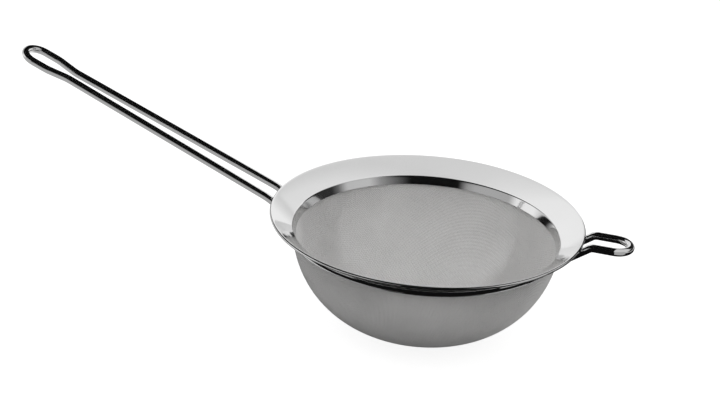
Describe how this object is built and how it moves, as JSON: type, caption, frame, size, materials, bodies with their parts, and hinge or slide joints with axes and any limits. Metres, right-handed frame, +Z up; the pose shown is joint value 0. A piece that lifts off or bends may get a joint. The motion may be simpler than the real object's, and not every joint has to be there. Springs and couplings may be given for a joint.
{
  "type": "sieve",
  "caption": "Kitchen sieve: a woven wire bowl clamped in a wide sloping steel rim, with a long two-rod handle ending in a hanging eye and a bent rod opposite that rests on a pot.",
  "frame": {"origin": "middle of the opening, level with the line where the sloping flange meets the collar", "axes": "+Z up along the axis of the bowl, +X from the handle towards the pot rest"},
  "size_m": [0.4942, 0.243, 0.1831],
  "materials": {
    "polished_rim": "polished",
    "polished_band": "satin",
    "steel_wire": "drawn wire, matte",
    "polished_rod": "polished",
    "weld_bead": "as welded, lightly tinted"
  },
  "bodies": {
    "root": {"rim_flange": "polished_rim", "clamp_band": "polished_band", "wire_cloth": "steel_wire", "handle_rod": "polished_rod", "pot_rest": "polished_rod", "handle_weld_left": "weld_bead", "handle_weld_right": "weld_bead", "rest_weld_left": "weld_bead", "rest_weld_right": "weld_bead"}
  },
  "joints": []
}
